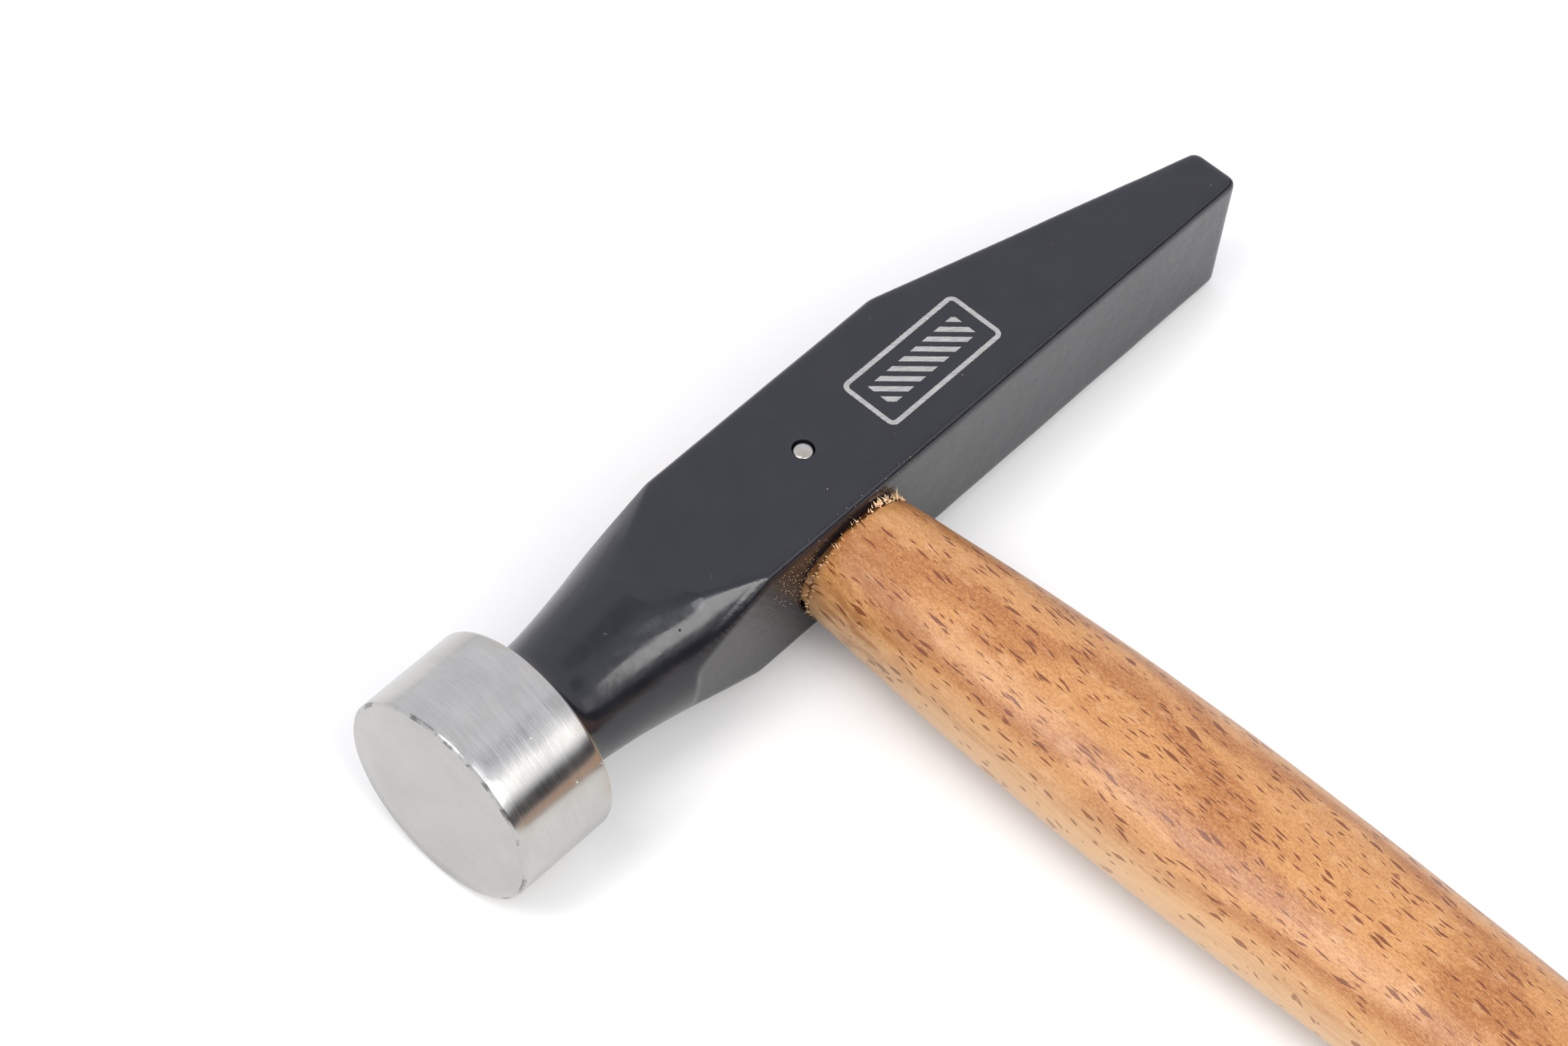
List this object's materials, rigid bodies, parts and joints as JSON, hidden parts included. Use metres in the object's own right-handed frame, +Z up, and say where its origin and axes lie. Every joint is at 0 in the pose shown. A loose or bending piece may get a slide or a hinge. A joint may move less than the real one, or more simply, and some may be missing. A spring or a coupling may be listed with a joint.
{
  "type": "cross peen hammer",
  "caption": "Metalworking hammer with a round striking face, a long straight-sided cross peen, an oval wooden handle and a cross pin through the cheeks.",
  "frame": {"origin": "floor level under the middle of the bounding box, with the hammer lying on its side", "axes": "+X along the head towards the peen, -Y along the handle towards the butt, +Z up from the floor; the head's own axes are tipped about 2 degrees because the hammer rests on the disc, the peen and the handle"},
  "size_m": [0.189, 0.336, 0.0406],
  "materials": {
    "enamel": "satin black enamel on forged steel; the striking disc is left bare and turned bright",
    "beech": "thin satin lacquer over beech with dark ray flecks along the handle",
    "bare_steel": "turned bright steel with fine circular marks; used on the cross pin and on the head's bare striking disc",
    "wedge_wood": "sawn, unfinished",
    "wedge_steel": "rolled, unfinished"
  },
  "bodies": {
    "root": {"head": "enamel", "handle": "beech", "cross_pin": "bare_steel", "wood_wedge": "wedge_wood", "steel_wedge": "wedge_steel"}
  },
  "joints": []
}
